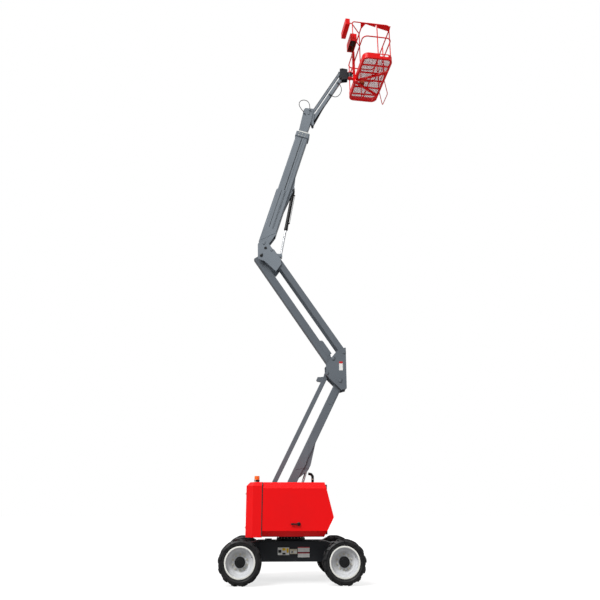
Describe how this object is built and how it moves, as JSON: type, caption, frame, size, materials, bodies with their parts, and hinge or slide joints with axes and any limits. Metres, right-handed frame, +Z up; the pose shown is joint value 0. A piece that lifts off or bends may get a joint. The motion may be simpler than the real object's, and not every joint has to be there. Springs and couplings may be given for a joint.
{
  "type": "articulating boom lift",
  "caption": "Self-propelled articulating boom lift: slewing upper works, parallel-link risers, telescopic boom and jib raise a railed work platform.",
  "frame": {"origin": "on the ground under the slewing axis, midway between the axles", "axes": "+Z up, +X towards the side where the platform hangs, +Y to the machine's far side, the arms moving in the XZ plane"},
  "size_m": [4.0318, 2.25, 13.7898],
  "materials": {
    "amber_lens": "gloss",
    "black_paint": "satin",
    "cast_iron": "cast",
    "chassis_paint": "satin",
    "chrome_rod": "polished",
    "grey_paint": "satin",
    "hose_rubber": "matt",
    "mesh_steel": "satin",
    "orange_plastic": "matt",
    "red_paint": "gloss",
    "rim_paint": "satin",
    "steel": "brushed",
    "tyre_rubber": "matt",
    "white_nylon": "matt"
  },
  "bodies": {
    "chassis": {"chassis_frame": "chassis_paint", "fixed_axle": "chassis_paint", "steer_axle": "chassis_paint"},
    "knuckle_left": {"steer_knuckle_left": "black_paint"},
    "knuckle_right": {"steer_knuckle_right": "black_paint"},
    "steering_bar": {"steer_rod": "steel"},
    "wheel_rear_left": {"tyre_rear_left": "tyre_rubber", "rim_rear_left": "rim_paint"},
    "wheel_rear_right": {"tyre_rear_right": "tyre_rubber", "rim_rear_right": "rim_paint"},
    "wheel_front_left": {"tyre_front_left": "tyre_rubber", "rim_front_left": "rim_paint"},
    "wheel_front_right": {"tyre_front_right": "tyre_rubber", "rim_front_right": "rim_paint"},
    "upper_works": {"turntable": "chassis_paint", "counterweight": "red_paint", "engine_block": "cast_iron", "tank_block": "black_paint", "beacon": "amber_lens"},
    "cover_left": {"hood_left": "red_paint", "exhaust": "black_paint"},
    "cover_right": {"hood_right": "red_paint"},
    "riser_low": {"lower_riser": "grey_paint"},
    "link_low": {"lower_link": "grey_paint"},
    "knuckle_mid": {"mid_knuckle": "grey_paint"},
    "riser_up": {"upper_riser": "grey_paint"},
    "link_up": {"upper_link": "grey_paint"},
    "knuckle_top": {"top_knuckle": "grey_paint"},
    "riser_cylinder": {"riser_barrel": "black_paint"},
    "riser_piston": {"riser_rod": "chrome_rod"},
    "boom": {"boom_outer": "grey_paint", "wear_pads": "white_nylon"},
    "boom_tip": {"boom_inner": "grey_paint", "head_hose": "hose_rubber"},
    "luff_cylinder": {"luff_barrel": "black_paint"},
    "luff_piston": {"luff_rod": "chrome_rod"},
    "jib_base": {"bellcrank": "grey_paint"},
    "jib": {"jib_arm": "grey_paint", "jib_hose": "hose_rubber"},
    "jib_top_link": {"jib_link": "grey_paint", "link_hose": "hose_rubber"},
    "jib_cylinder": {"jib_barrel": "black_paint"},
    "jib_piston": {"jib_rod": "chrome_rod"},
    "jib_tip": {"jib_end": "grey_paint"},
    "platform": {"rotator": "red_paint", "basket_frame": "red_paint", "basket_floor": "mesh_steel", "console": "red_paint", "tool_box": "red_paint", "foot_switch": "orange_plastic"},
    "entry_gate": {"gate": "red_paint"}
  },
  "joints": [
    {"name": "slew", "type": "hinge", "parent": "chassis", "child": "upper_works", "pos_m": [0, 0, 0.85], "axis": [0, 0, 1], "range_deg": [-177.5, 177.5]},
    {"name": "steer", "type": "hinge", "parent": "chassis", "child": "knuckle_left", "pos_m": [-1.015, 0.745, 0.4225], "axis": [0, 0, 1], "range_deg": [-38, 38]},
    {"name": "steer_right", "type": "hinge", "parent": "chassis", "child": "knuckle_right", "pos_m": [-1.015, -0.745, 0.4225], "axis": [0, 0, 1], "range_deg": [-38.1, 38.1]},
    {"name": "steer_bar_turn", "type": "hinge", "parent": "knuckle_left", "child": "steering_bar", "pos_m": [-0.825, 0.745, 0.4225], "axis": [0, 0, 1], "range_deg": [-38.1, 38.1]},
    {"name": "wheel_rear_left_spin", "type": "hinge", "parent": "knuckle_left", "child": "wheel_rear_left", "pos_m": [-1.015, 0.97, 0.4225], "axis": [0, 1, 0], "continuous": true},
    {"name": "wheel_rear_right_spin", "type": "hinge", "parent": "knuckle_right", "child": "wheel_rear_right", "pos_m": [-1.015, -0.97, 0.4225], "axis": [0, 1, 0], "continuous": true},
    {"name": "wheel_front_left_spin", "type": "hinge", "parent": "chassis", "child": "wheel_front_left", "pos_m": [1.015, 0.97, 0.4225], "axis": [0, 1, 0], "continuous": true},
    {"name": "wheel_front_right_spin", "type": "hinge", "parent": "chassis", "child": "wheel_front_right", "pos_m": [1.015, -0.97, 0.4225], "axis": [0, 1, 0], "continuous": true},
    {"name": "cover_left_lift", "type": "hinge", "parent": "upper_works", "child": "cover_left", "pos_m": [0.1, 0.237, 1.917], "axis": [1, 0, 0], "range_deg": [0, 52]},
    {"name": "cover_right_lift", "type": "hinge", "parent": "upper_works", "child": "cover_right", "pos_m": [0.1, -0.237, 1.917], "axis": [-1, 0, 0], "range_deg": [0, 52]},
    {"name": "riser_lift", "type": "hinge", "parent": "upper_works", "child": "riser_low", "pos_m": [-0.3, 0, 1.3], "axis": [0, -1, 0], "range_deg": [-63.8, 0]},
    {"name": "link_low_turn", "type": "hinge", "parent": "upper_works", "child": "link_low", "pos_m": [-0.595, 0, 1.472], "axis": [0, -1, 0], "range_deg": [-63.9, 0.1]},
    {"name": "knuckle_mid_turn", "type": "hinge", "parent": "riser_low", "child": "knuckle_mid", "pos_m": [1.10178, 0, 4.14879], "axis": [0, -1, 0], "range_deg": [-0.1, 63.9]},
    {"name": "riser_up_turn", "type": "hinge", "parent": "knuckle_mid", "child": "riser_up", "pos_m": [0.95178, 0, 4.66179], "axis": [0, -1, 0], "range_deg": [-0.1, 56.2]},
    {"name": "link_up_turn", "type": "hinge", "parent": "knuckle_mid", "child": "link_up", "pos_m": [1.19678, 0, 4.80779], "axis": [0, -1, 0], "range_deg": [-0.1, 56.2]},
    {"name": "knuckle_top_turn", "type": "hinge", "parent": "riser_up", "child": "knuckle_top", "pos_m": [-0.75269, 0, 7.19831], "axis": [0, -1, 0], "range_deg": [-56.2, 0.1]},
    {"name": "riser_cylinder_turn", "type": "hinge", "parent": "upper_works", "child": "riser_cylinder", "pos_m": [-0.05, 0, 0.98], "axis": [0, -1, 0], "range_deg": [-62.66, 0.1]},
    {"name": "riser_piston_slide", "type": "slide", "parent": "riser_cylinder", "child": "riser_piston", "axis": [0.2997, 0, 0.954], "range_m": [-0.4295, 0.001]},
    {"name": "luff", "type": "hinge", "parent": "knuckle_top", "child": "boom", "pos_m": [-0.69469, 0, 7.52331], "axis": [0, -1, 0], "range_deg": [-70.5, 1.1]},
    {"name": "telescope", "type": "slide", "parent": "boom", "child": "boom_tip", "axis": [0.2773, 0, 0.9608], "range_m": [0, 1.35]},
    {"name": "luff_cylinder_turn", "type": "hinge", "parent": "boom", "child": "luff_cylinder", "pos_m": [0.02098, 0, 9.05804], "axis": [0, -1, 0], "range_deg": [-5.58, 0.1]},
    {"name": "luff_piston_slide", "type": "slide", "parent": "luff_cylinder", "child": "luff_piston", "axis": [-0.165, 0, -0.9863], "range_m": [-0.54922, 0.00941]},
    {"name": "level", "type": "hinge", "parent": "boom_tip", "child": "jib_base", "pos_m": [0.41906, 0, 11.34952], "axis": [0, -1, 0], "range_deg": [-1.2, 70.6]},
    {"name": "jib_lift", "type": "hinge", "parent": "jib_base", "child": "jib", "pos_m": [0.51706, 0, 11.17252], "axis": [0, 1, 0], "range_deg": [-6, 115]},
    {"name": "jib_link_turn", "type": "hinge", "parent": "jib_base", "child": "jib_top_link", "pos_m": [0.55706, 0, 11.47252], "axis": [0, 1, 0], "range_deg": [-6.1, 115.1]},
    {"name": "jib_tip_turn", "type": "hinge", "parent": "jib", "child": "jib_tip", "pos_m": [1.30706, 0, 12.54084], "axis": [0, 1, 0], "range_deg": [-115.1, 6.1]},
    {"name": "jib_cylinder_turn", "type": "hinge", "parent": "jib_base", "child": "jib_cylinder", "pos_m": [0.53206, 0, 11.03752], "axis": [0, 1, 0], "range_deg": [-6.09, 114.93]},
    {"name": "jib_piston_slide", "type": "slide", "parent": "jib_cylinder", "child": "jib_piston", "axis": [0.4316, 0, 0.902], "range_m": [-0.2301, 0.01295]},
    {"name": "platform_turn", "type": "hinge", "parent": "jib_tip", "child": "platform", "pos_m": [1.57006, 0, 12.54984], "axis": [0, 0, 1], "range_deg": [-96, 84]},
    {"name": "gate_swing", "type": "hinge", "parent": "platform", "child": "entry_gate", "pos_m": [2.50578, -0.01527, 12.94984], "axis": [0, 0, 1], "range_deg": [0, 95]}
  ],
  "couplings": [
    {"joint": "steer_right", "follows": "steer", "ratio": 1},
    {"joint": "steer_bar_turn", "follows": "steer", "ratio": -1},
    {"joint": "link_low_turn", "follows": "riser_lift", "ratio": 1},
    {"joint": "knuckle_mid_turn", "follows": "riser_lift", "ratio": -1},
    {"joint": "riser_up_turn", "follows": "riser_lift", "ratio": -0.87931},
    {"joint": "link_up_turn", "follows": "riser_lift", "ratio": -0.87931},
    {"joint": "knuckle_top_turn", "follows": "riser_lift", "ratio": 0.87931},
    {"joint": "riser_cylinder_turn", "follows": "riser_lift", "ratio": 0.98054},
    {"joint": "riser_piston_slide", "follows": "riser_lift", "m_per_rad": 0.38481},
    {"joint": "luff_cylinder_turn", "follows": "luff", "ratio": 0.077653},
    {"joint": "luff_piston_slide", "follows": "luff", "m_per_rad": 0.44546},
    {"joint": "level", "follows": "luff", "ratio": -1},
    {"joint": "jib_link_turn", "follows": "jib_lift", "ratio": 1},
    {"joint": "jib_tip_turn", "follows": "jib_lift", "ratio": -1},
    {"joint": "jib_cylinder_turn", "follows": "jib_lift", "ratio": 0.99856},
    {"joint": "jib_piston_slide", "follows": "jib_lift", "m_per_rad": -0.11414}
  ]
}
